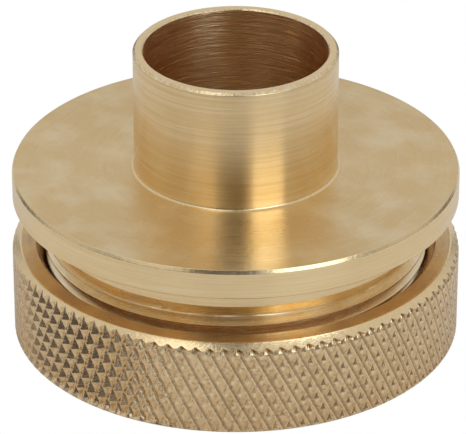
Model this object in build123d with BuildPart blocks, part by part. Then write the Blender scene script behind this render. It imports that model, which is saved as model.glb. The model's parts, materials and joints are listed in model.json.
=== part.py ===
from build123d import *
import os

# A router template guide bushing and its knurled lock nut, in millimetres.
# The frame: +Z is the axis, and z = 0 is the plane the lock nut stands on.

INCH = 25.4

# ---- heights, counted up from the plane the nut stands on
nut_height = 7.55
shank_end = 0.4
flange_top = 13.9
flange_thickness = 3 / 32 * INCH
collar_height = 9.9
shoulder_end = 9.45
thread_top = 8.73
floor_thickness = 3.2

flange_underside = flange_top - flange_thickness
collar_top = flange_top + collar_height
recess_top = flange_top - floor_thickness

# ---- radii of the guide
collar_radius = 5 / 8 * INCH / 2
bore_radius = 9 / 16 * INCH / 2
flange_radius = (1 + 3 / 8) * INCH / 2
shoulder_radius = (1 + 3 / 16) * INCH / 2
recess_radius = 1 * INCH / 2

# ---- thread: 28 turns to the inch, right-handed, 60 degree V
pitch = INCH / 28
thread_depth = 0.66 * pitch
crest_radius = 15.0
root_flat = pitch / 8
flank_slope = 0.57735
relief_radius = crest_radius - thread_depth - 0.05
relief_foot = thread_top + (crest_radius - relief_radius) * flank_slope
mouth_overshoot = 0.12
running_gap = 0.06

# the groove of the guide starts in the relief, to the left of the front
groove_start = 9.075
guide_turns = 10 + 240 / 360
nut_turns = 10.5
nut_groove_base = -0.9

# ---- lock nut
nut_radius = 17.59
nut_bore_radius = crest_radius + running_gap
nut_rim_chamfer = 0.6
nut_mouth_chamfer = 0.7
nut_foot_chamfer = 0.15

# ---- broken edges of the guide
collar_rim_chamfer = 0.2
bore_rim_chamfer = 0.12
collar_root_fillet = 0.2
flange_face_chamfer = 0.28
flange_back_chamfer = 0.1
shoulder_chamfer = 0.08
shank_chamfer = 0.5
recess_chamfer = 0.3


def rim(piece, radius, height):
    """The circular edges of a piece at one radius and one height."""
    found = piece.edges().filter_by(GeomType.CIRCLE)
    return found.filter_by(
        lambda edge: abs(edge.radius - radius) < 1e-4
        and abs(edge.arc_center.Z - height) < 1e-4
    )


def groove_turn(root_radius, mouth_radius, base, turns):
    """One turn, or less, of the V that cuts a thread: flat at its root, open at its mouth."""
    half_root = root_flat / 2
    half_mouth = half_root + abs(mouth_radius - root_radius) * flank_slope
    with BuildPart() as turn:
        with BuildLine(Plane.XY.offset(base)) as helix:
            Helix(pitch, turns * pitch, mouth_radius)
        start = Plane(
            origin=helix.line @ 0,
            x_dir=(1, 0, 0),
            z_dir=helix.line % 0,
        )
        with BuildSketch(start):
            with BuildLine():
                Polyline(
                    (root_radius - mouth_radius, -half_root),
                    (0, -half_mouth),
                    (0, half_mouth),
                    (root_radius - mouth_radius, half_root),
                    close=True,
                )
            make_face()
        sweep(path=helix.line, is_frenet=True)
    return turn.part


def groove(root_radius, mouth_radius, base, turns):
    """A whole groove, wound turn by turn upwards from its base."""
    whole_turns = int(turns)
    cuts = [
        groove_turn(root_radius, mouth_radius, base + turn * pitch, 1)
        for turn in range(whole_turns)
    ]
    last_base = base + whole_turns * pitch
    cuts.append(groove_turn(root_radius, mouth_radius, last_base, turns % 1))
    return cuts


# ---- the two thread grooves, as solids to cut away
guide_groove = groove(
    crest_radius - thread_depth,
    crest_radius + mouth_overshoot,
    groove_start - guide_turns * pitch,
    guide_turns,
)
nut_groove = groove(
    nut_bore_radius + thread_depth,
    nut_bore_radius - mouth_overshoot,
    nut_groove_base,
    nut_turns,
)

# ---- the guide: collar, flange, shoulder and threaded shank, turned in one piece
with BuildPart() as guide_bushing:
    with BuildSketch(Plane.XZ) as guide_section:
        with BuildLine() as guide_outline:
            Polyline(
                (bore_radius, recess_top),
                (bore_radius, collar_top),
                (collar_radius, collar_top),
                (collar_radius, flange_top),
                (flange_radius, flange_top),
                (flange_radius, flange_underside),
                (shoulder_radius, flange_underside),
                (shoulder_radius, shoulder_end),
                (relief_radius, shoulder_end),
                (relief_radius, relief_foot),
                (crest_radius, thread_top),
                (crest_radius, shank_end),
                (recess_radius, shank_end),
                (recess_radius, recess_top),
                close=True,
            )
        make_face()
    revolve(axis=Axis.Z)

    fillet(rim(guide_bushing, collar_radius, flange_top), collar_root_fillet)
    chamfer(rim(guide_bushing, collar_radius, collar_top), collar_rim_chamfer)
    chamfer(rim(guide_bushing, bore_radius, collar_top), bore_rim_chamfer)
    chamfer(rim(guide_bushing, flange_radius, flange_top), flange_face_chamfer)
    chamfer(rim(guide_bushing, flange_radius, flange_underside), flange_back_chamfer)
    chamfer(rim(guide_bushing, shoulder_radius, shoulder_end), shoulder_chamfer)
    chamfer(rim(guide_bushing, crest_radius, shank_end), shank_chamfer)
    chamfer(rim(guide_bushing, recess_radius, shank_end), recess_chamfer)

    for cut in guide_groove:
        add(cut, mode=Mode.SUBTRACT)

# ---- the lock nut: a ring threaded inside; its rim is as wide as the knurl's crests
with BuildPart() as lock_nut:
    with BuildSketch(Plane.XZ) as nut_section:
        with BuildLine() as nut_outline:
            Polyline(
                (nut_bore_radius, 0),
                (nut_radius, 0),
                (nut_radius, nut_height),
                (nut_bore_radius, nut_height),
                close=True,
            )
        make_face()
    revolve(axis=Axis.Z)

    chamfer(rim(lock_nut, nut_radius, nut_height), nut_rim_chamfer)
    chamfer(rim(lock_nut, nut_radius, 0), nut_foot_chamfer)
    chamfer(rim(lock_nut, nut_bore_radius, nut_height), nut_mouth_chamfer)
    chamfer(rim(lock_nut, nut_bore_radius, 0), nut_mouth_chamfer)

    for cut in nut_groove:
        add(cut, mode=Mode.SUBTRACT)

# ---- export
os.makedirs("parts", exist_ok=True)
guide_bushing.part.label = "guide_bushing"
export_step(guide_bushing.part, "parts/guide_bushing.step")
lock_nut.part.label = "lock_nut"
export_step(lock_nut.part, "parts/lock_nut.step")
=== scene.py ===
"""A router template guide bushing with its knurled lock nut: the fine meshes, the brass, the studio.

Lengths are in millimetres until a mesh, the camera or a light is made, which takes metres.
The frame: +Z is the axis of the object, and z = 0 is the plane that the lock nut stands on.
"""

import json
import math

import bmesh
import bpy
import numpy as np
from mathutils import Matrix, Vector


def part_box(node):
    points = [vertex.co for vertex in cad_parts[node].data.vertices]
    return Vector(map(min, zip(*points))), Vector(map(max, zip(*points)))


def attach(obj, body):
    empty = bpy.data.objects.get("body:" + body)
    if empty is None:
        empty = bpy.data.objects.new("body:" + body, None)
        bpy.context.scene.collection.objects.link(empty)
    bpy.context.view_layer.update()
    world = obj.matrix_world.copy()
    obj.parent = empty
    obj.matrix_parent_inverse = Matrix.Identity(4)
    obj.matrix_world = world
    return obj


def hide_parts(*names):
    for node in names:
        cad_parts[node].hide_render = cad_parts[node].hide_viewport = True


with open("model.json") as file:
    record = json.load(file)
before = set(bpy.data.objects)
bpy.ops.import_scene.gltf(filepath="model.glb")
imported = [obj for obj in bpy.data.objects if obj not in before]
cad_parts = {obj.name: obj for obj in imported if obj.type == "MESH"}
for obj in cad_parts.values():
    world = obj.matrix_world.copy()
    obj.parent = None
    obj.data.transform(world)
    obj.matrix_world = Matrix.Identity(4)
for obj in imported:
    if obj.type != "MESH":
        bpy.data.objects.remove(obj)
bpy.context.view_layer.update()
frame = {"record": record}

MM = 0.001
INCH = 25.4
FULL_TURN = 2 * math.pi

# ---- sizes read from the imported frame
mounts = {mount["name"]: mount for mount in frame["record"]["mounts"]}
collar_radius = mounts["template_collar"]["dims"]["r_mm"]
bore_radius = mounts["cutter_bore"]["dims"]["r_mm"]
shoulder_radius = mounts["base_plate_seat"]["dims"]["r_mm"]
flange_underside = mounts["base_plate_seat"]["pos_m"][2] / MM

guide_low, guide_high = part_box("guide_bushing")
_, nut_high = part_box("lock_nut")
shank_end = guide_low.z / MM
collar_top = guide_high.z / MM
flange_radius = guide_high.x / MM
nut_radius = nut_high.x / MM
nut_height = nut_high.z / MM

# ---- sizes repeated from the part
flange_top = 13.9
shoulder_end = 9.45
thread_top = 8.73
recess_top = 10.7
recess_radius = INCH / 2

collar_rim_chamfer = 0.2
bore_rim_chamfer = 0.12
collar_root_fillet = 0.2
flange_face_chamfer = 0.28
flange_back_chamfer = 0.1
shoulder_chamfer = 0.08
shank_chamfer = 0.5
recess_chamfer = 0.3
nut_rim_chamfer = 0.6
nut_mouth_chamfer = 0.7
nut_foot_chamfer = 0.15

# ---- edges that only the visual has: how far in the flange's steep front edge reaches, the
# ---- roundings of corners, and the round from the nut's rim chamfer into its top face
flange_edge_reach = 0.13
sharp = 0.02
soft = 0.03
softer = 0.05
nut_rim_rounding = 0.06

# ---- the thread: 28 turns to the inch, a 60 degree V with a flat root
pitch = INCH / 28
running_gap = 0.06
thread_depth = 0.66 * pitch
flank_slope = math.tan(math.radians(30))
crest_radius = 15.0
crest_rounding = 0.02
crest_blend = 0.05
relief_radius = crest_radius - thread_depth - 0.05
relief_foot = thread_top + (crest_radius - relief_radius) * flank_slope
nut_bore_radius = crest_radius + running_gap
half_root = pitch / 16
half_mouth = half_root + thread_depth * flank_slope
groove_start = 9.075
guide_groove_turns = 10 + 240 / 360
guide_groove_base = groove_start - guide_groove_turns * pitch
nut_groove_base = -0.9
groove_fade_turns = 0.03

# ---- the diamond knurl: two crossing sets of grooves, pressed deepest on one side of the nut
# teeth in a turn, millimetres that a groove climbs in one tooth, and a shift round in teeth
knurl_teeth = 102
knurl_rise = 2.13
knurl_phase = -0.03

# depths in millimetres; the widths of a groove's left and right flanks in teeth; and how far
# from the middle of a strip, in teeth, the strokes start and end their fade
full_depth = 0.46
full_width = 0.5
line_depth = 0.08
line_left = 0.12
line_right = 0.24
stroke_depth = 0.09
stroke_left = 0.16
stroke_right = 0.30
stroke_fade = (0.14, 0.38)

# a three-cornered pit: its depth in millimetres; its foot, tip, half width and wall in teeth; and
# the wall of its painted shade, in teeth
pit_depth = 0.12
pit_low = -0.30
pit_high = 0.36
pit_half_width = 0.46
pit_wall = 0.18
pit_shade_wall = 0.10

# where the grooves change, in degrees round the axis from +X: each pair starts and ends a fade;
# and the share of its depth that the knurl loses in the worn stretch
deep_from = (174, 200)
deep_until = (234, 258)
pits_from = (268, 292)
worn_from = (140, 176)
worn_until = (190, 212)
worn_loss = 0.8

# where the painted shade changes, in degrees from -180 to 180: on the pyramids' facets and in the
# pits, with how dark the pits' painted shade is
pyramids_shaded_from = (-170, -152)
pyramids_shaded_until = (-126, -106)
pits_shaded_from = (-96, -68)
pits_shaded_until = (140, 176)
pit_shade_least = 0.22
pit_shade_most = 0.9

# the zig-zag along the top edge, and the stretch in which the grooves fade at the foot
edge_depth = 0.28
edge_reach = 0.22
foot_fade = 0.40

# ---- how finely the meshes are divided
steps_per_tooth = 10
shortest_step = 0.1
weld_distance = 2e-4

guide_columns = 416
nut_columns = knurl_teeth * steps_per_tooth
nut_bore_columns = nut_columns // 2


# ======================================================================== meshes


class Shell:
    """The surface of one piece, gathered sheet by sheet and then welded into one mesh."""

    def __init__(self, finishes):
        self.finishes = finishes
        self.points = []
        self.faces = []
        self.face_finishes = []
        self.count = 0

    def add_points(self, radius, height, angle):
        """Adds points given on the cylinder and returns their numbers, in the same layout."""
        radius, height, angle = np.broadcast_arrays(radius, height, angle)
        x = radius * np.cos(angle)
        y = radius * np.sin(angle)
        self.points.append(np.stack([x, y, height], axis=-1).reshape(-1, 3))
        numbers = self.count + np.arange(radius.size).reshape(radius.shape)
        self.count += radius.size
        return numbers

    def add_faces(self, *corners, finish):
        """Adds one face for each entry of the corner arrays."""
        faces = np.stack([np.asarray(corner).ravel() for corner in corners], axis=-1)
        self.faces.extend(faces.tolist())
        self.face_finishes.extend([self.finishes.index(finish)] * len(faces))

    def sheet(self, radius, height, angle, finish):
        """A sheet of quads through rows and columns of points."""
        n = self.add_points(radius, height, angle)
        self.add_faces(n[:-1, :-1], n[:-1, 1:], n[1:, 1:], n[1:, :-1], finish=finish)

    def band(self, start, end, columns, finish):
        """A sheet once round the axis between two rings, each (radius, height)."""
        radius = np.array([[start[0]], [end[0]]])
        height = np.array([[start[1]], [end[1]]])
        self.sheet(radius, height, column_angles(columns)[None, :], finish)

    def split_sheet(self, radius_at, height, angle, finish):
        """A sheet whose every cell is split in four by its centre, so both diagonals are edges."""
        n = self.add_points(radius_at(angle, height), height, angle)
        mid_angle = (angle[:-1, :-1] + angle[1:, 1:]) / 2
        mid_height = (height[:-1, :-1] + height[:-1, 1:] + height[1:, 1:] + height[1:, :-1]) / 4
        c = self.add_points(radius_at(mid_angle, mid_height), mid_height, mid_angle)
        ring = [n[:-1, :-1], n[:-1, 1:], n[1:, 1:], n[1:, :-1]]
        for corner, following in zip(ring, ring[1:] + ring[:1]):
            self.add_faces(corner, following, c, finish=finish)

    def stitch(self, fine, coarse, finish):
        """Joins two rings, each (radius, height), the fine one with twice as many points."""
        inner = self.add_points(coarse[0], coarse[1], column_angles(nut_bore_columns))
        outer = self.add_points(fine[0], fine[1], column_angles(nut_columns))
        left, middle, right = outer[0:-2:2], outer[1:-1:2], outer[2::2]
        self.add_faces(inner[:-1], left, middle, finish=finish)
        self.add_faces(inner[:-1], middle, inner[1:], finish=finish)
        self.add_faces(inner[1:], middle, right, finish=finish)

    def build(self, name, crease_degrees):
        """Welds the sheets, turns the faces outwards and makes the object."""
        mesh = bpy.data.meshes.new(name)
        mesh.from_pydata((np.concatenate(self.points) * MM).tolist(), [], self.faces)
        mesh.polygons.foreach_set("material_index", self.face_finishes)
        welded = bmesh.new()
        welded.from_mesh(mesh)
        bmesh.ops.remove_doubles(welded, verts=welded.verts, dist=weld_distance * MM)
        bmesh.ops.dissolve_degenerate(welded, edges=welded.edges, dist=weld_distance * MM)
        bmesh.ops.recalc_face_normals(welded, faces=welded.faces)
        welded.to_mesh(mesh)
        welded.free()
        mesh.shade_smooth()
        mesh.set_sharp_from_angle(angle=math.radians(crease_degrees))
        piece = bpy.data.objects.new(name, mesh)
        bpy.context.scene.collection.objects.link(piece)
        return piece


def column_angles(columns):
    """Angles once round the axis, the last one closing the turn."""
    return np.linspace(0, FULL_TURN, columns + 1)


def rounded_outline(corners, support=0.05, arc_step=math.radians(20)):
    """Points along an outline with its corners rounded.

    A corner is (radius, height, rounding, finish of the stretch after it). Beside each arc
    stands a support point, which keeps the long stretches flat when they are shaded smooth.
    Returns the points and the finish of each stretch between two of them.
    """
    points = [Vector(corners[0][:2])]
    finishes = []
    for before, corner, after in zip(corners, corners[1:], corners[2:]):
        here = Vector(corner[:2])
        back = (Vector(before[:2]) - here).normalized()
        on = (Vector(after[:2]) - here).normalized()
        rounding = corner[2]
        half = back.angle(on) / 2
        reach = rounding / math.tan(half)
        centre = here + (back + on).normalized() * rounding / math.sin(half)
        start = here + back * reach - centre
        sweep = start.angle_signed(here + on * reach - centre)
        steps = max(2, math.ceil(abs(sweep) / arc_step))
        points.append(here + back * (reach + support))
        finishes.append(before[3])
        for step in range(steps + 1):
            turn = -sweep * step / steps
            turned = Vector((
                start.x * math.cos(turn) - start.y * math.sin(turn),
                start.x * math.sin(turn) + start.y * math.cos(turn),
            ))
            points.append(centre + turned)
            finishes.append("edge" if step else before[3])
        points.append(here + on * (reach + support))
        finishes.append(corner[3])
    points.append(Vector(corners[-1][:2]))
    finishes.append(corners[-2][3])
    return points, finishes


def lathe(shell, corners, columns):
    """Turns a rounded outline once round the axis."""
    points, finishes = rounded_outline(corners)
    for start, end, finish in zip(points, points[1:], finishes):
        shell.band(start, end, columns, finish)


def groove_offset(height, angle, base):
    """How far a point is above the nearest groove's middle, and how many turns up that is."""
    climb = (height - base) / pitch - angle / FULL_TURN
    turn = np.round(climb)
    return (climb - turn) * pitch, turn + angle / FULL_TURN


def helix_rows(low, high, base, columns, half):
    """Rows that follow the helix, cut off level at both ends, and their angles.

    half holds the heights of the rows in the upper half of the groove, from its middle up.
    """
    angle = column_angles(columns)[None, :]
    offsets = np.concatenate([-half[::-1], half])
    first = math.floor((low - base) / pitch) - 2
    last = math.ceil((high - base) / pitch) + 1
    rows = (np.arange(first, last + 1)[:, None] * pitch + offsets[None, :]).reshape(-1, 1)
    height = np.clip(base + rows + pitch * angle / FULL_TURN, low, high)
    return height, angle + 0 * height


def thread_fall(height, angle, base):
    """How deep the V groove is at a point, and how many turns up the groove that is.

    The depth runs from 0 at the mouth to the thread's depth, with the crests slightly worn.
    """
    offset, turns = groove_offset(height, angle, base)
    share = (half_mouth - np.abs(offset)) / (half_mouth - half_root)
    fall = thread_depth * np.clip(share, 0, 1)
    rounded = crest_rounding * np.clip(share / crest_blend + 0.5, 0, 1)
    return np.maximum(fall, np.minimum(rounded, crest_rounding)), turns


def guide_thread(shell):
    """The shank's thread, with its chamfered end and the relief's sloping foot on top."""
    worn = half_mouth - crest_rounding
    half = np.array([half_root, worn - crest_rounding, worn, half_mouth])
    height, angle = helix_rows(shank_end, relief_foot, guide_groove_base, guide_columns, half)
    fall, turns = thread_fall(height, angle, guide_groove_base)
    started = np.clip((guide_groove_turns - turns) / groove_fade_turns + 1, 0, 1)
    cone = crest_radius - shank_chamfer + (height - shank_end)
    foot = crest_radius - (height - thread_top) / flank_slope
    radius = np.minimum(crest_radius - fall * started, np.minimum(cone, foot))
    shell.sheet(radius, height, angle, "thread")


def nut_thread(shell):
    """The nut's thread, opened at both ends by the mouth chamfers."""
    half = np.array([half_root, half_mouth])
    height, angle = helix_rows(0, nut_height, nut_groove_base, nut_bore_columns, half)
    fall, _ = thread_fall(height, angle, nut_groove_base)
    mouth = nut_bore_radius + nut_mouth_chamfer
    cone = np.maximum(mouth - height, mouth - (nut_height - height))
    shell.sheet(np.maximum(nut_bore_radius + fall, cone), height, angle, "thread")


def make_guide():
    """Collar, flange, shoulder and hollow threaded shank, in one surface."""
    shell = Shell(["collar", "turned", "faced", "bored", "thread", "edge", "rim"])
    guide_thread(shell)

    corners = [
        (relief_radius, relief_foot, sharp, "thread"),
        (relief_radius, shoulder_end, sharp, "turned"),
        (shoulder_radius - shoulder_chamfer, shoulder_end, sharp, "turned"),
        (shoulder_radius, shoulder_end + shoulder_chamfer, sharp, "turned"),
        (shoulder_radius, flange_underside, 0.08, "faced"),
        (flange_radius - flange_back_chamfer, flange_underside, soft, "edge"),
        (flange_radius, flange_underside + flange_back_chamfer, 0.04, "turned"),
        (flange_radius, flange_top - flange_face_chamfer, soft, "edge"),
        (flange_radius - flange_edge_reach, flange_top, soft, "faced"),
        (collar_radius, flange_top, collar_root_fillet, "collar"),
        (collar_radius, collar_top - collar_rim_chamfer, softer, "rim"),
        (collar_radius - collar_rim_chamfer, collar_top, softer, "edge"),
        (bore_radius + bore_rim_chamfer, collar_top, soft, "rim"),
        (bore_radius, collar_top - bore_rim_chamfer, soft, "bored"),
        (bore_radius, recess_top, 0.1, "faced"),
        (recess_radius, recess_top, 0.2, "bored"),
        (recess_radius, shank_end + recess_chamfer, softer, "edge"),
        (recess_radius + recess_chamfer, shank_end, softer, "faced"),
        (crest_radius - shank_chamfer, shank_end, sharp, "faced"),
    ]
    lathe(shell, corners, guide_columns)
    return shell.build("guide_turning", crease_degrees=34)


def smooth_step(value, low, high):
    """Rises smoothly from 0 at low to 1 at high."""
    share = np.clip((value - low) / (high - low), 0, 1)
    return share * share * (3 - 2 * share)


def knurl_groove(place, depth, left, right):
    """The depth of one set of grooves, whose middles lie at whole numbers of place.

    left and right are the widths of a groove's two flanks, in teeth.
    """
    offset = place - np.round(place)
    share = 1 - np.where(offset < 0, -offset / left, offset / right)
    return depth * np.clip(share, 0, 1)


def between(shallow, full, deep):
    """A value of the knurl, as deep grows from 0 to 1."""
    return shallow * (1 - deep) + full * deep


def unevenness(angle, rise):
    """A factor near 1 that makes the depth of the shallow knurl waver."""
    return 1 + 0.10 * np.sin(7 * angle + 0.8) + 0.08 * np.sin(23 * angle + 5 * rise)


def pit_share(along, crossing):
    """1 on the floor of the three-cornered pits, falling to 0 at their edges."""
    across = along + crossing
    up = along - crossing
    side = (pit_high - up) * pit_half_width / (pit_high - pit_low) - np.abs(across)
    return np.clip(np.minimum(side, up - pit_low) / pit_wall, 0, 1)


def knurl_radius(angle, height):
    """The knurled rim: what both sets of grooves leave of the nut's outer cylinder.

    On the deep side, and along the top edge, both sets meet in pyramids. Elsewhere one set
    leaves narrow lines, and the other only strokes or small three-cornered pits between them.
    """
    teeth = angle * knurl_teeth / FULL_TURN + knurl_phase
    rise = height / knurl_rise
    degrees = np.degrees(angle)
    uneven = unevenness(angle, rise)
    deep = smooth_step(degrees, *deep_from) * (1 - smooth_step(degrees, *deep_until))
    worn = smooth_step(degrees, *worn_from) * (1 - smooth_step(degrees, *worn_until))
    pitted = 1 - smooth_step(degrees, *worn_from) + smooth_step(degrees, *pits_from)
    edge = nut_height - nut_rim_chamfer
    top = smooth_step(height, edge - edge_reach, edge)

    along = teeth + rise - np.floor(teeth + rise) - 0.5
    crossing = teeth - rise - np.round(teeth - rise)
    in_strip = 1 - smooth_step(np.abs(along), *stroke_fade)
    lines = knurl_groove(
        teeth + rise,
        between(line_depth * uneven, full_depth, deep),
        between(line_left, full_width, deep),
        between(line_right, full_width, deep),
    )
    strokes = knurl_groove(
        teeth - rise,
        between(stroke_depth * uneven * in_strip, full_depth, deep),
        between(stroke_left, full_width, deep),
        between(stroke_right, full_width, deep),
    )
    zig_zag = knurl_groove(teeth + rise, edge_depth * top, full_width, full_width)
    pits = pit_depth * uneven * pitted * pit_share(along, crossing)
    depth = np.maximum.reduce([lines, strokes, pits, zig_zag])
    return nut_radius - depth * (1 - worn_loss * worn) * smooth_step(height, 0, foot_fade)


def top_cone(height):
    """The radius of the chamfer round the nut's rim."""
    return nut_radius - (height - nut_height + nut_rim_chamfer)


def foot_cone(height):
    """The radius of the small chamfer round the nut's foot."""
    return nut_radius - nut_foot_chamfer + height


def meet_cone(angle, cone_radius_at, low, high):
    """The height, at each angle, where the knurl runs out into a chamfer's cone."""
    low = np.full_like(angle, low)
    high = np.full_like(angle, high)
    sign = np.sign(cone_radius_at(low) - cone_radius_at(high))
    for _ in range(24):
        middle = (low + high) / 2
        below = sign * (cone_radius_at(middle) - knurl_radius(angle, middle)) > 0
        low = np.where(below, middle, low)
        high = np.where(below, high, middle)
    return (low + high) / 2


def nut_rim(shell):
    """The knurled cylinder, and the chamfers that it runs out into."""
    angle = column_angles(nut_columns)[None, :]
    chamfer_start = nut_height - nut_rim_chamfer
    run_out = meet_cone(angle, top_cone, chamfer_start, nut_height)
    run_in = meet_cone(angle, foot_cone, 0, nut_foot_chamfer)
    step = knurl_rise / steps_per_tooth
    levels = np.arange(step, chamfer_start - shortest_step, step)[:, None] + 0 * angle
    height = np.concatenate([run_in, levels, run_out])
    shell.split_sheet(knurl_radius, height, angle + 0 * height, "knurl")

    foot_height = np.concatenate([0 * angle, run_in])
    shell.sheet(foot_cone(foot_height), foot_height, angle, "edge")
    cone_height = np.concatenate([run_out, nut_height - nut_rim_rounding + 0 * angle])
    shell.sheet(top_cone(cone_height), cone_height, angle, "edge")


def nut_rim_round():
    """Points (radius, height) on the round from the rim's chamfer into the top face."""
    inner = nut_radius - nut_rim_chamfer
    shape = [(1, 1), (0.35, 0.12), (-0.4, 0), (-2, 0)]
    return [
        (inner + out * nut_rim_rounding, nut_height - down * nut_rim_rounding)
        for out, down in shape
    ]


def make_nut():
    """The knurled ring nut, threaded inside."""
    shell = Shell(["knurl", "faced", "thread", "edge"])
    nut_rim(shell)
    arc = nut_rim_round()
    for start, end in zip(arc, arc[1:]):
        shell.band(start, end, nut_columns, "edge")

    mouth_radius = nut_bore_radius + nut_mouth_chamfer
    shell.stitch(arc[-1], (mouth_radius, nut_height), "faced")
    nut_thread(shell)
    shell.stitch((foot_cone(0), 0), (mouth_radius, 0), "faced")
    return shell.build("lock_nut_knurled", crease_degrees=16)


# ===================================================================== materials


def add_node(tree, kind, settings=None, **inputs):
    """Adds a node; an input given as a socket is linked, any other is set."""
    node = tree.nodes.new(kind)
    for name, value in (settings or {}).items():
        setattr(node, name, value)
    for name, value in inputs.items():
        socket = node.inputs[name.replace("_", " ")]
        if isinstance(value, bpy.types.NodeSocket):
            tree.links.new(value, socket)
        else:
            socket.default_value = value
    return node


def math_node(tree, operation, first, second=0.0):
    """One sum, product or other operation on two numbers."""
    node = tree.nodes.new("ShaderNodeMath")
    node.operation = operation
    for socket, value in zip(node.inputs, (first, second)):
        if isinstance(value, bpy.types.NodeSocket):
            tree.links.new(value, socket)
        else:
            socket.default_value = value
    return node.outputs[0]


def spread(tree, value, low, high, to_low, to_high):
    """Maps a number from one range to another, without going past its ends."""
    node = add_node(
        tree, "ShaderNodeMapRange",
        Value=value, From_Min=low, From_Max=high, To_Min=to_low, To_Max=to_high,
    )
    return node.outputs["Result"]


def noise(tree, vector, scale, detail=2.0, roughness=0.5):
    """Fractal noise, from 0 to 1."""
    node = add_node(
        tree, "ShaderNodeTexNoise",
        Vector=vector, Scale=scale, Detail=detail, Roughness=roughness,
    )
    return node.outputs["Fac"]


def tool_coordinates(tree, across, wander):
    """Coordinates that run quickly across the tool lines and slowly along them.

    across is the axis coordinate that counts the lines: "height" on a cylinder, "radius" on
    a face. wander is how much the lines stray on their way round. One unit is one millimetre.
    """
    place = tree.nodes.new("ShaderNodeTexCoord").outputs["Object"]
    axes = add_node(tree, "ShaderNodeSeparateXYZ", Vector=place).outputs
    if across == "height":
        count = math_node(tree, "DIVIDE", axes["Z"], MM)
    else:
        squares = math_node(
            tree, "ADD",
            math_node(tree, "POWER", axes["X"], 2.0),
            math_node(tree, "POWER", axes["Y"], 2.0),
        )
        count = math_node(tree, "DIVIDE", math_node(tree, "SQRT", squares), MM)
    around_x = math_node(tree, "MULTIPLY", axes["X"], wander / MM)
    around_y = math_node(tree, "MULTIPLY", axes["Y"], wander / MM)
    joined = add_node(tree, "ShaderNodeCombineXYZ", X=around_x, Y=around_y, Z=count)
    return joined.outputs["Vector"]


def plain_coordinates(tree):
    """Object coordinates in millimetres."""
    place = tree.nodes.new("ShaderNodeTexCoord").outputs["Object"]
    node = add_node(tree, "ShaderNodeVectorMath", {"operation": "SCALE"}, Vector=place)
    node.inputs["Scale"].default_value = 1 / MM
    return node.outputs["Vector"]


def colour_mix(tree, factor, first, second):
    """A colour between two, by a factor from 0 to 1."""
    node = tree.nodes.new("ShaderNodeMix")
    node.data_type = "RGBA"
    tree.links.new(factor, node.inputs["Factor"])
    colour_inputs = [socket for socket in node.inputs if socket.type == "RGBA"]
    for socket, value in zip(colour_inputs, (first, second)):
        if isinstance(value, bpy.types.NodeSocket):
            tree.links.new(value, socket)
        else:
            socket.default_value = value
    return next(socket for socket in node.outputs if socket.type == "RGBA")


def grey_ramp(tree, value, stops):
    """A grey that follows a number from 0 to 1; each stop is (number, grey)."""
    node = tree.nodes.new("ShaderNodeValToRGB")
    tree.links.new(value, node.inputs["Fac"])
    elements = node.color_ramp.elements
    while len(elements) < len(stops):
        elements.new(1.0)
    for element, (place, grey) in zip(elements, stops):
        element.position = place
        element.color = (grey, grey, grey, 1.0)
    return node.outputs["Color"]


def bump(tree, height, distance, normal=None):
    """Raises the surface by height times distance, in millimetres."""
    node = add_node(tree, "ShaderNodeBump", Height=height, Distance=distance * MM)
    if normal is not None:
        tree.links.new(normal, node.inputs["Normal"])
    return node.outputs["Normal"]


def new_brass(name, roughness, anisotropy=0.0):
    """A metallic shader; with anisotropy, its gloss is drawn out across the tool lines.

    roughness is a plain value, near the middle of the range that the material's nodes give.
    """
    material = bpy.data.materials.new(name)
    material.use_nodes = True
    tree = material.node_tree
    shader = tree.nodes["Principled BSDF"]
    shader.inputs["Metallic"].default_value = 1.0
    shader.inputs["Roughness"].default_value = roughness
    shader.inputs["Anisotropic"].default_value = anisotropy
    shader.inputs["Anisotropic Rotation"].default_value = 0.25
    if anisotropy:
        tangent = tree.nodes.new("ShaderNodeTangent")
        tangent.direction_type = "RADIAL"
        tangent.axis = "Z"
        tree.links.new(tangent.outputs["Tangent"], shader.inputs["Tangent"])
    return material, tree, shader


# ---- tones of brass, from the palest crests to the painted shade in the knurl's pits and lines
BRASS = (0.92, 0.69, 0.37, 1.0)
BRASS_CREST = (0.98, 0.84, 0.60, 1.0)
BRASS_PALE = (0.95, 0.76, 0.47, 1.0)
BRASS_DEEP = (0.84, 0.59, 0.29, 1.0)
# dark tones: painted shade on the nut's face and thread
BRASS_SHADED_UMBER = (0.62, 0.47, 0.31, 1.0)
BRASS_SHADED_BROWN = (0.60, 0.42, 0.24, 1.0)
FLANGE_DULL = (0.82, 0.62, 0.33, 1.0)
FLANGE_CLEAN = (0.88, 0.66, 0.36, 1.0)
FLANGE_SMUDGED = (0.93, 0.75, 0.47, 1.0)
BORE_DULL = (0.84, 0.62, 0.36, 1.0)
BORE_CLEAN = (0.93, 0.72, 0.45, 1.0)
KNURL_DULL = (0.74, 0.53, 0.29, 1.0)
KNURL_CLEAN = (0.84, 0.62, 0.36, 1.0)
# a lit tone and a painted shade for the facets of the pyramids on the deep side
KNURL_PAINTED_LIT_FACET = (0.88, 0.68, 0.41, 1.0)
KNURL_PAINTED_FACET_SHADE = (0.50, 0.35, 0.22, 1.0)
# painted shade for the pits and lines, and also the random dark specks
KNURL_PAINTED_SHADE_AND_SPECKS = (0.26, 0.16, 0.09, 1.0)

# ---- how strongly a tone shows across one tooth of the knurl: (place in the tooth, strength)
# a painted highlight on one lip of each line, painted shade in the line and on its far side, and a
# painted highlight just past each stroke, within the strips' middles
lip_highlight_stops = [(0.76, 0.0), (0.82, 0.9), (0.87, 0.9), (0.90, 0.0)]
groove_shade_stops = [(0.0, 0.55), (0.05, 0.48), (0.14, 0.12), (0.24, 0.0), (0.88, 0.0), (0.91, 0.55)]
stroke_highlight_stops = [(0.50, 0.0), (0.60, 0.9), (0.76, 0.9), (0.92, 0.0)]
strip_shades = [(0.14, 0.0), (0.28, 1.0), (0.52, 1.0), (0.78, 0.0)]


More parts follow.
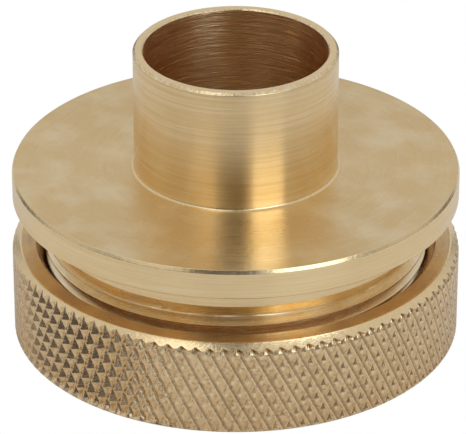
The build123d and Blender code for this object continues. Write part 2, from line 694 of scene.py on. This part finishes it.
def turned_brass(name, line_strength):
    """A turned cylinder: fine tool lines, as clear as line_strength says."""
    material, tree, shader = new_brass(name, roughness=0.22, anisotropy=0.95)
    turning = tool_coordinates(tree, "height", wander=0.015)
    lines = noise(tree, turning, scale=6.0, detail=2.0, roughness=0.5)
    fine = noise(tree, turning, scale=8.0, detail=2.0, roughness=0.6)
    cloud = noise(tree, plain_coordinates(tree), scale=0.35, detail=3.0, roughness=0.5)
    tone = colour_mix(tree, spread(tree, fine, 0.38, 0.62, 0, 1), BRASS, BRASS_PALE)
    dark_lines = spread(tree, lines, 0.45, 0.65, 0, 0.6 * line_strength)
    tone = colour_mix(tree, dark_lines, tone, BRASS_DEEP)
    tree.links.new(tone, shader.inputs["Base Color"])
    tree.links.new(spread(tree, cloud, 0.3, 0.7, 0.20, 0.25), shader.inputs["Roughness"])
    normal = bump(tree, lines, 0.014 * line_strength)
    normal = bump(tree, fine, 0.006, normal=normal)
    tree.links.new(normal, shader.inputs["Normal"])
    return material


def faced_brass(name, dull, pale, ring_tone, pale_smudge):
    """A flat face: concentric tool rings, some of them in ring_tone, under soft smudges."""
    material, tree, shader = new_brass(name, roughness=0.28, anisotropy=0.85)
    facing = tool_coordinates(tree, "radius", wander=0.06)
    straying = tool_coordinates(tree, "radius", wander=0.35)
    rings = noise(tree, facing, scale=4.4, detail=3.0, roughness=0.6)
    fine = noise(tree, straying, scale=8.0, detail=2.0, roughness=0.6)
    smudge = noise(tree, plain_coordinates(tree), scale=0.30, detail=3.0, roughness=0.55)
    speckle = noise(tree, plain_coordinates(tree), scale=3.6, detail=3.0, roughness=0.65)
    tone = colour_mix(tree, spread(tree, fine, 0.40, 0.60, 0, 0.5), dull, pale)
    tone = colour_mix(tree, spread(tree, rings, 0.38, 0.60, 0.1, 0.8), tone, ring_tone)
    tone = colour_mix(tree, spread(tree, smudge, 0.42, 0.68, 0, 0.8), tone, pale_smudge)
    tree.links.new(tone, shader.inputs["Base Color"])
    tree.links.new(spread(tree, rings, 0.35, 0.65, 0.27, 0.33), shader.inputs["Roughness"])
    normal = bump(tree, rings, 0.013)
    normal = bump(tree, fine, 0.012, normal=normal)
    normal = bump(tree, speckle, 0.007, normal=normal)
    tree.links.new(normal, shader.inputs["Normal"])
    return material


def bored_brass():
    """The bore and the recess: fine tool lines that glint here and there."""
    material, tree, shader = new_brass("brass_bored", roughness=0.22, anisotropy=0.92)
    boring = tool_coordinates(tree, "height", wander=0.02)
    straying = tool_coordinates(tree, "height", wander=0.05)
    waves = noise(tree, boring, scale=3.4, detail=3.0, roughness=0.6)
    scratches = noise(tree, straying, scale=9.0, detail=2.0, roughness=0.6)
    tone = colour_mix(tree, spread(tree, waves, 0.40, 0.60, 0, 0.8), BORE_DULL, BORE_CLEAN)
    tree.links.new(tone, shader.inputs["Base Color"])
    tree.links.new(spread(tree, scratches, 0.3, 0.7, 0.18, 0.28), shader.inputs["Roughness"])
    normal = bump(tree, waves, 0.030)
    normal = bump(tree, scratches, 0.034, normal=normal)
    tree.links.new(normal, shader.inputs["Normal"])
    return material


def thread_brass(name, clean, dull):
    """A thread and its relief: fine tool lines on two cloudy tones."""
    material, tree, shader = new_brass(name, roughness=0.25, anisotropy=0.5)
    turning = tool_coordinates(tree, "height", wander=0.03)
    lines = noise(tree, turning, scale=7.0, detail=3.0, roughness=0.6)
    cloud = noise(tree, plain_coordinates(tree), scale=0.8, detail=3.0, roughness=0.5)
    tone = colour_mix(tree, spread(tree, cloud, 0.35, 0.65, 0, 1), clean, dull)
    tree.links.new(tone, shader.inputs["Base Color"])
    tree.links.new(spread(tree, lines, 0.3, 0.7, 0.2, 0.3), shader.inputs["Roughness"])
    tree.links.new(bump(tree, lines, 0.008), shader.inputs["Normal"])
    return material


def edge_brass(name, nick_depth, dull, pale):
    """A broken edge: polished by handling, with small nicks that catch the light."""
    material, tree, shader = new_brass(name, roughness=0.18)
    nicks = noise(tree, plain_coordinates(tree), scale=3.4, detail=3.0, roughness=0.6)
    tone = colour_mix(tree, spread(tree, nicks, 0.35, 0.65, 0, 1), dull, pale)
    tree.links.new(tone, shader.inputs["Base Color"])
    tree.links.new(spread(tree, nicks, 0.3, 0.7, 0.14, 0.26), shader.inputs["Roughness"])
    tree.links.new(bump(tree, nicks, nick_depth), shader.inputs["Normal"])
    return material


def knurl_places(tree):
    """The angle, and where a point is in each of the knurl's two sets of grooves.

    Both places run from 0 to 1. Among the lines, a strip runs from one line, at 0, to the
    next, at 1. Among the crossing strokes, a stroke is at 0.5.
    """
    place = tree.nodes.new("ShaderNodeTexCoord").outputs["Object"]
    axes = add_node(tree, "ShaderNodeSeparateXYZ", Vector=place).outputs
    angle = math_node(tree, "ARCTAN2", axes["Y"], axes["X"])
    around = math_node(tree, "MULTIPLY", angle, knurl_teeth / FULL_TURN)
    teeth = math_node(tree, "ADD", around, knurl_phase)
    rise = math_node(tree, "DIVIDE", axes["Z"], knurl_rise * MM)
    in_strips = math_node(tree, "FRACT", math_node(tree, "ADD", teeth, rise))
    half_on = math_node(tree, "ADD", teeth, 0.5)
    in_strokes = math_node(tree, "FRACT", math_node(tree, "SUBTRACT", half_on, rise))
    return angle, in_strips, in_strokes


def up_facing(tree, in_strips, in_strokes):
    """1 on the facet of each pyramid that faces up and to the right, 0 on the other three.

    A pyramid's tip is in the middle of a strip, half a tooth on from a stroke.
    """
    from_stroke = math_node(tree, "FRACT", math_node(tree, "ADD", in_strokes, 0.5))
    from_tip = math_node(tree, "ABSOLUTE", math_node(tree, "SUBTRACT", from_stroke, 0.5))
    along = math_node(tree, "SUBTRACT", in_strips, 0.5)
    lead = math_node(tree, "SUBTRACT", along, from_tip)
    return spread(tree, lead, -0.02, 0.02, 0, 1)


def pit_mask(tree, in_strips, in_strokes):
    """1 inside the three-cornered pits, 0 outside them."""
    along = math_node(tree, "SUBTRACT", in_strips, 0.5)
    crossing = math_node(tree, "SUBTRACT", in_strokes, 0.5)
    across = math_node(tree, "ABSOLUTE", math_node(tree, "ADD", along, crossing))
    up = math_node(tree, "SUBTRACT", along, crossing)
    half_width = spread(tree, up, pit_low, pit_high, pit_half_width, 0)
    side = math_node(tree, "SUBTRACT", half_width, across)
    inside = math_node(tree, "MINIMUM", side, math_node(tree, "SUBTRACT", up, pit_low))
    return spread(tree, inside, 0.0, pit_shade_wall, 0, 1)


def angle_fade(tree, angle, fade, before, after):
    """Goes from one number to another round the axis; fade holds its two ends in degrees."""
    return spread(tree, angle, math.radians(fade[0]), math.radians(fade[1]), before, after)


def knurl_masks(tree, angle):
    """1 where the knurl is shallow, not pyramids with a painted shaded facet; and how strong the
    painted shade in its pits is.
    """
    before_pyramids = angle_fade(tree, angle, pyramids_shaded_from, 1, 0)
    after_pyramids = angle_fade(tree, angle, pyramids_shaded_until, 0, 1)
    shallow = math_node(tree, "MAXIMUM", before_pyramids, after_pyramids)
    gained = angle_fade(tree, angle, pits_shaded_from, pit_shade_least, pit_shade_most)
    lost = angle_fade(tree, angle, pits_shaded_until, 0, pit_shade_most - pit_shade_least)
    pit_shade_strength = math_node(tree, "SUBTRACT", gained, lost)
    return shallow, pit_shade_strength


def knurl_tone(tree, grain):
    """The knurl's colour: painted shade on one facet of each pyramid on the deep side; on the rest,
    painted highlights on the lips and past the strokes, and painted shade along the lines and in the
    pits; random specks over all.
    """
    angle, in_strips, in_strokes = knurl_places(tree)
    shallow, pit_shade_strength = knurl_masks(tree, angle)
    # a painted highlight just past each stroke, in the strip's middle
    stroke_highlight = math_node(
        tree, "MULTIPLY",
        grey_ramp(tree, in_strokes, stroke_highlight_stops), grey_ramp(tree, in_strips, strip_shades),
    )
    stroke_highlight = math_node(tree, "MULTIPLY", stroke_highlight, shallow)
    # a painted highlight on one lip of each line
    lip_highlight = math_node(tree, "MULTIPLY", grey_ramp(tree, in_strips, lip_highlight_stops), shallow)
    # painted shade in each line and on its far side
    groove_shade = math_node(tree, "MULTIPLY", grey_ramp(tree, in_strips, groove_shade_stops), shallow)
    # painted shade inside the three-cornered pits
    pits = math_node(tree, "MULTIPLY", pit_mask(tree, in_strips, in_strokes), pit_shade_strength)
    pits = math_node(tree, "MULTIPLY", pits, shallow)

    cloud = noise(tree, plain_coordinates(tree), scale=0.5, detail=3.0, roughness=0.5)
    flats = colour_mix(tree, spread(tree, cloud, 0.35, 0.65, 0, 1), KNURL_DULL, KNURL_CLEAN)
    # painted shade on the up-facing facet of each pyramid, a lit tone on the other three
    painted_facet_shading = colour_mix(tree, up_facing(tree, in_strips, in_strokes), KNURL_PAINTED_LIT_FACET, KNURL_PAINTED_FACET_SHADE)
    tone = colour_mix(tree, shallow, painted_facet_shading, flats)
    # the painted highlight past the strokes
    tone = colour_mix(tree, stroke_highlight, tone, BRASS_PALE)
    # the painted highlight on the lips
    tone = colour_mix(tree, lip_highlight, tone, BRASS_PALE)
    # the painted shade along the lines
    tone = colour_mix(tree, groove_shade, tone, KNURL_PAINTED_SHADE_AND_SPECKS)
    # the painted shade in the pits
    tone = colour_mix(tree, pits, tone, KNURL_PAINTED_SHADE_AND_SPECKS)
    tone = colour_mix(tree, spread(tree, grain, 0.52, 0.66, 0, 0.6), tone, KNURL_PAINTED_SHADE_AND_SPECKS)
    return colour_mix(tree, spread(tree, grain, 0.34, 0.45, 0.5, 0), tone, BRASS_PALE)


def knurl_brass():
    """The knurl: dull displaced metal, with painted highlights on the lips beside the lines and
    painted shade in the pits.
    """
    material, tree, shader = new_brass("brass_knurl", roughness=0.18)
    grain = noise(tree, plain_coordinates(tree), scale=3.6, detail=4.0, roughness=0.75)
    tree.links.new(knurl_tone(tree, grain), shader.inputs["Base Color"])
    tree.links.new(spread(tree, grain, 0.3, 0.7, 0.10, 0.25), shader.inputs["Roughness"])
    tree.links.new(bump(tree, grain, 0.025), shader.inputs["Normal"])
    return material


# ======================================================================== studio

WHITE = (1.0, 1.0, 1.0, 1.0)
COOL_WHITE = (0.94, 1.03, 1.12, 1.0)

# ---- the tent: its radiances, and where it goes from one to the next, by direction
tent_radiance = 0.62
front_horizon_radiance = 0.10
back_horizon_radiance = 0.55
front_to_back = (-0.75, -0.1)
horizon_to_tent = (0.20, 0.32)

# ---- the floor: its tones, a painted pool of light, pale round the object and dark further out; and how far out it goes from one to the other, in metres
floor_painted_lit = (0.98, 0.96, 0.94, 1.0)
floor_painted_dark = (0.20, 0.20, 0.20, 1.0)
floor_fade = (0.075, 0.12)
floor_reach = 2.0
floor_drop = 0.02 * MM

# ---- the panels: how far off they are, in metres, and how finely they are bent
panel_distance = 0.75
panel_rows = 12
panel_columns = 8

# ---- the camera
camera_place = (0.0, -253.06, 144.785)
camera_aim = (-0.2142, 0.0, 9.1139)
camera_lens = 281.99
sensor_width = 36.0


def make_camera():
    """A long lens at the height and distance that give the object its proportions."""
    data = bpy.data.cameras.new("camera")
    data.lens = camera_lens
    data.sensor_width = sensor_width
    data.clip_start = 0.01
    data.clip_end = 20.0
    camera = bpy.data.objects.new("camera", data)
    camera.location = Vector(camera_place) * MM
    direction = (Vector(camera_aim) - Vector(camera_place)).normalized()
    camera.rotation_euler = direction.to_track_quat("-Z", "Y").to_euler()
    bpy.context.scene.collection.objects.link(camera)
    bpy.context.scene.camera = camera


def on_sky(azimuth, elevation, distance):
    """A point in metres, seen from the object; azimuth 0 is the camera's side, 90 is +X."""
    turn = math.radians(azimuth)
    rise = math.radians(elevation)
    return distance * Vector((
        math.sin(turn) * math.cos(rise),
        -math.cos(turn) * math.cos(rise),
        math.sin(rise),
    ))


def stage_mesh(name, points, faces, material):
    """A surface of the studio, which isn't part of the object."""
    mesh = bpy.data.meshes.new(name)
    mesh.from_pydata(points, [], faces)
    mesh.materials.append(material)
    panel = bpy.data.objects.new(name, mesh)
    bpy.context.scene.collection.objects.link(panel)
    return panel


def emission_material(name, radiance, tint):
    """An even glow."""
    material = bpy.data.materials.new(name)
    material.use_nodes = True
    tree = material.node_tree
    tree.nodes.remove(tree.nodes["Principled BSDF"])
    glow = add_node(tree, "ShaderNodeEmission", Color=tint, Strength=radiance)
    tree.links.new(glow.outputs[0], tree.nodes["Material Output"].inputs["Surface"])
    return material


def bent_panel(name, radiance, outline, tint=WHITE):
    """A panel of even brightness, bent round the object at the panels' distance.

    Each row of its outline is (elevation, left azimuth, right azimuth), from the bottom up.
    """
    elevations, lefts, rights = zip(*outline)
    points = []
    for elevation in np.linspace(elevations[0], elevations[-1], panel_rows + 1):
        left = np.interp(elevation, elevations, lefts)
        right = np.interp(elevation, elevations, rights)
        for share in np.linspace(0, 1, panel_columns + 1):
            points.append(on_sky(left + (right - left) * share, elevation, panel_distance))
    width = panel_columns + 1
    faces = [
        (row * width + k, row * width + k + 1, (row + 1) * width + k + 1, (row + 1) * width + k)
        for row in range(panel_rows)
        for k in range(panel_columns)
    ]
    panel = stage_mesh(name, points, faces, emission_material(name, radiance, tint))
    panel.visible_camera = False
    panel.visible_shadow = False


def white_to_camera(tree, shader, glow_kind):
    """What the camera sees is plain white; everything else meets the real shader."""
    glow = add_node(tree, glow_kind, Color=WHITE, Strength=1.0)
    seen = tree.nodes.new("ShaderNodeLightPath").outputs["Is Camera Ray"]
    mix = tree.nodes.new("ShaderNodeMixShader")
    tree.links.new(seen, mix.inputs[0])
    tree.links.new(shader, mix.inputs[1])
    tree.links.new(glow.outputs[0], mix.inputs[2])
    return mix.outputs[0]


def make_floor():
    """A wide floor with a painted pool of light: pale round the object, dark further out."""
    material = bpy.data.materials.new("floor")
    material.use_nodes = True
    tree = material.node_tree
    tree.nodes.remove(tree.nodes["Principled BSDF"])
    place = tree.nodes.new("ShaderNodeTexCoord").outputs["Object"]
    away = add_node(tree, "ShaderNodeVectorMath", {"operation": "LENGTH"}, Vector=place)
    share = spread(tree, away.outputs["Value"], *floor_fade, 0, 1)
    # the painted pool of light: pale near the object, dark further out
    tone = colour_mix(tree, share, floor_painted_lit, floor_painted_dark)
    paper = add_node(tree, "ShaderNodeBsdfDiffuse", Color=tone)
    seen = white_to_camera(tree, paper.outputs[0], "ShaderNodeEmission")
    tree.links.new(seen, tree.nodes["Material Output"].inputs["Surface"])
    corners = [
        (x * floor_reach, y * floor_reach, -floor_drop)
        for x, y in [(-1, -1), (1, -1), (1, 1), (-1, 1)]
    ]
    stage_mesh("floor", corners, [(0, 1, 2, 3)], material)


def make_tent():
    """A white tent all round, dark towards the horizon except behind the object."""
    world = bpy.data.worlds.new("tent")
    world.use_nodes = True
    tree = world.node_tree
    place = tree.nodes.new("ShaderNodeTexCoord").outputs["Generated"]
    axes = add_node(tree, "ShaderNodeSeparateXYZ", Vector=place).outputs
    horizon = spread(
        tree, axes["Y"], *front_to_back, front_horizon_radiance, back_horizon_radiance
    )
    radiance = spread(tree, axes["Z"], *horizon_to_tent, horizon, tent_radiance)
    tent = tree.nodes["Background"]
    tent.inputs["Color"].default_value = WHITE
    tree.links.new(radiance, tent.inputs["Strength"])
    seen = white_to_camera(tree, tent.outputs[0], "ShaderNodeBackground")
    tree.links.new(seen, tree.nodes["World Output"].inputs["Surface"])
    bpy.context.scene.world = world


def make_panels():
    """A dim panel before the object, and a softbox on either side, each in two heights."""
    bent_panel("dim_side", 0.12, [(-3, -23, 13), (30, -22, 12), (48, -17, 11)])
    bent_panel("dim_side_high", 0.22, [(48, -17, 11), (63, -12, 10), (76, -12, 10)])
    bent_panel("softbox_right", 2.05, [(8, 19, 54), (46, 19, 54)], COOL_WHITE)
    bent_panel("softbox_right_high", 0.66, [(46, 19, 54), (76, 14, 50)])
    bent_panel("softbox_left_low", 0.72, [(14, -56, -27), (48, -56, -27)])
    bent_panel("softbox_left_high", 1.45, [(48, -56, -27), (63, -50, -15), (76, -50, -14)])


def make_studio():
    """The camera, the tent and floor, the panels, and how the picture is worked out."""
    make_camera()
    make_floor()
    make_tent()
    make_panels()
    scene = bpy.context.scene
    scene.view_settings.view_transform = "Standard"
    scene.cycles.max_bounces = 20
    scene.cycles.glossy_bounces = 16


# ====================================================================== assembly

make_studio()

# each piece's materials stand in the order of the finishes that its Shell was given
guide = make_guide()
guide_finishes = [
    turned_brass("brass_collar", line_strength=1.0),
    turned_brass("brass_turned", line_strength=0.35),
    faced_brass("brass_flange", FLANGE_DULL, FLANGE_CLEAN, BRASS_DEEP, FLANGE_SMUDGED),
    bored_brass(),
    # the palest tones on the guide's thread: painted light that brightens the shaded gap under the
    # flange
    thread_brass("brass_thread_painted_light", BRASS_CREST, BRASS_PALE),
    edge_brass("brass_edge", 0.012, BRASS, BRASS_PALE),
    edge_brass("brass_rim", 0.05, BRASS_DEEP, BRASS_CREST),
]
for finish in guide_finishes:
    guide.data.materials.append(finish)
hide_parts("guide_bushing")
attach(guide, "guide")

nut = make_nut()
nut_finishes = [
    knurl_brass(),
    # dark tones on the nut's face and thread: painted shade for the gap under the flange and inside
    # the nut
    faced_brass("brass_nut_face_painted_shade", BRASS_SHADED_UMBER, BRASS_DEEP, BRASS_SHADED_BROWN, BRASS_DEEP),
    thread_brass("brass_nut_thread_painted_shade", BRASS_SHADED_UMBER, BRASS_SHADED_BROWN),
    edge_brass("brass_nut_edge", 0.02, BRASS, BRASS_PALE),
]
for finish in nut_finishes:
    nut.data.materials.append(finish)
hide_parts("lock_nut")
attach(nut, "nut")
